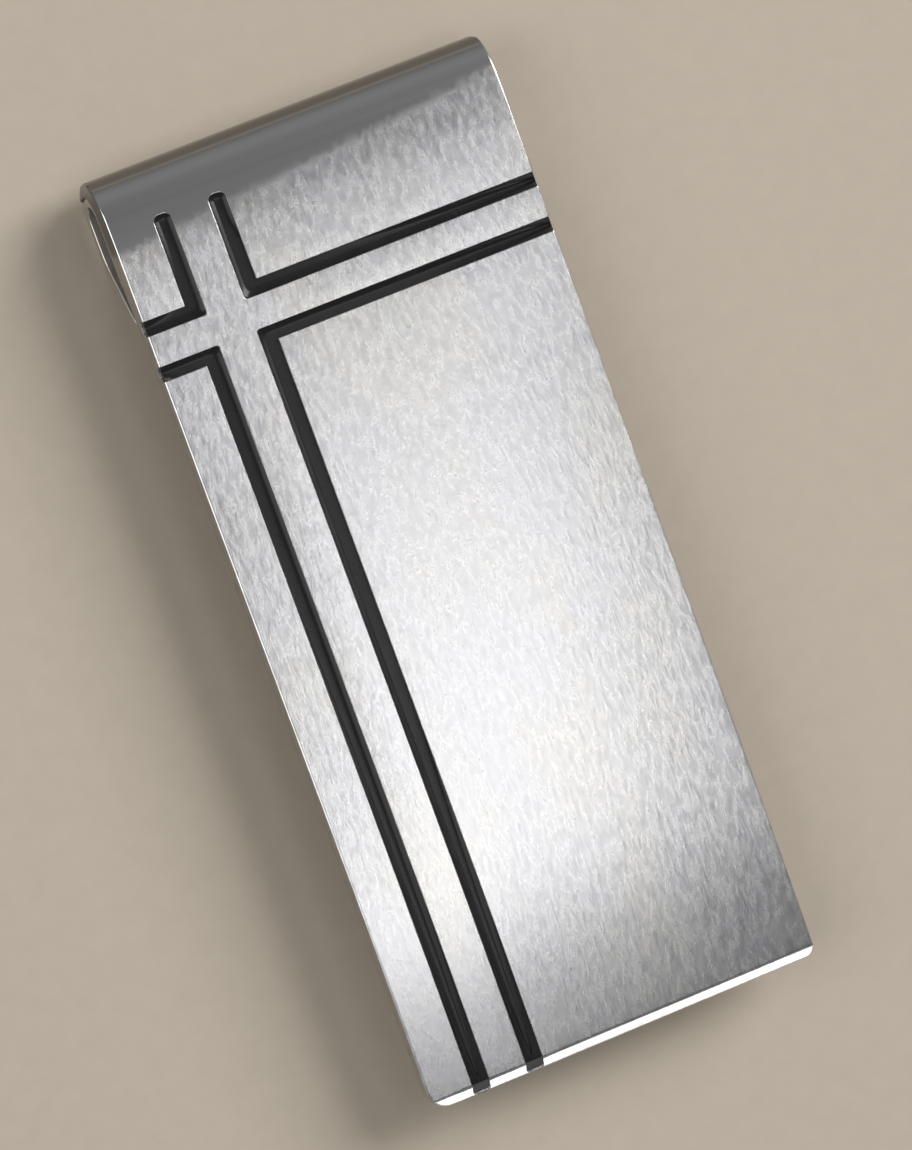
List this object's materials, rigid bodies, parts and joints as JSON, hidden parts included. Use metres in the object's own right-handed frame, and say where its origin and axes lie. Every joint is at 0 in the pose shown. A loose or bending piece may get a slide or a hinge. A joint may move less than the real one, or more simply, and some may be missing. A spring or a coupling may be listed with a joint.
{
  "type": "money clip",
  "caption": "Steel money clip with a rolled top, black enamelled crossing grooves in its face, and a sprung leaf behind that holds folded banknotes.",
  "frame": {"origin": "middle of the footprint, on the surface that the clip's back rests on", "axes": "+X across the plate to the right seen from the front, +Y along the plate to the rolled top, +Z out of the decorated face"},
  "size_m": [0.0226, 0.052, 0.0045],
  "materials": {
    "satin_steel": "satin face with fine brushing along its length, polished over the rolled top",
    "black_enamel": "glossy black resin enamel",
    "spring_steel": "fine brushed spring steel",
    "rivet_steel": "bright"
  },
  "bodies": {
    "plate": {"front_plate": "satin_steel", "enamel_upper_left": "black_enamel", "enamel_upper_right": "black_enamel", "enamel_lower_left": "black_enamel", "enamel_lower_right": "black_enamel", "leaf_bend": "spring_steel", "leaf_rivet_left": "rivet_steel", "leaf_rivet_right": "rivet_steel"},
    "tongue": {"leaf_tongue": "spring_steel"}
  },
  "joints": [
    {"name": "leaf_spring", "type": "hinge", "parent": "plate", "child": "tongue", "pos_m": [0, 0.02335, 0.00025], "axis": [1, 0, 0], "range_deg": [0, 9], "stiffness_Nm_per_rad": 1.5, "springref_deg": -2.86}
  ]
}
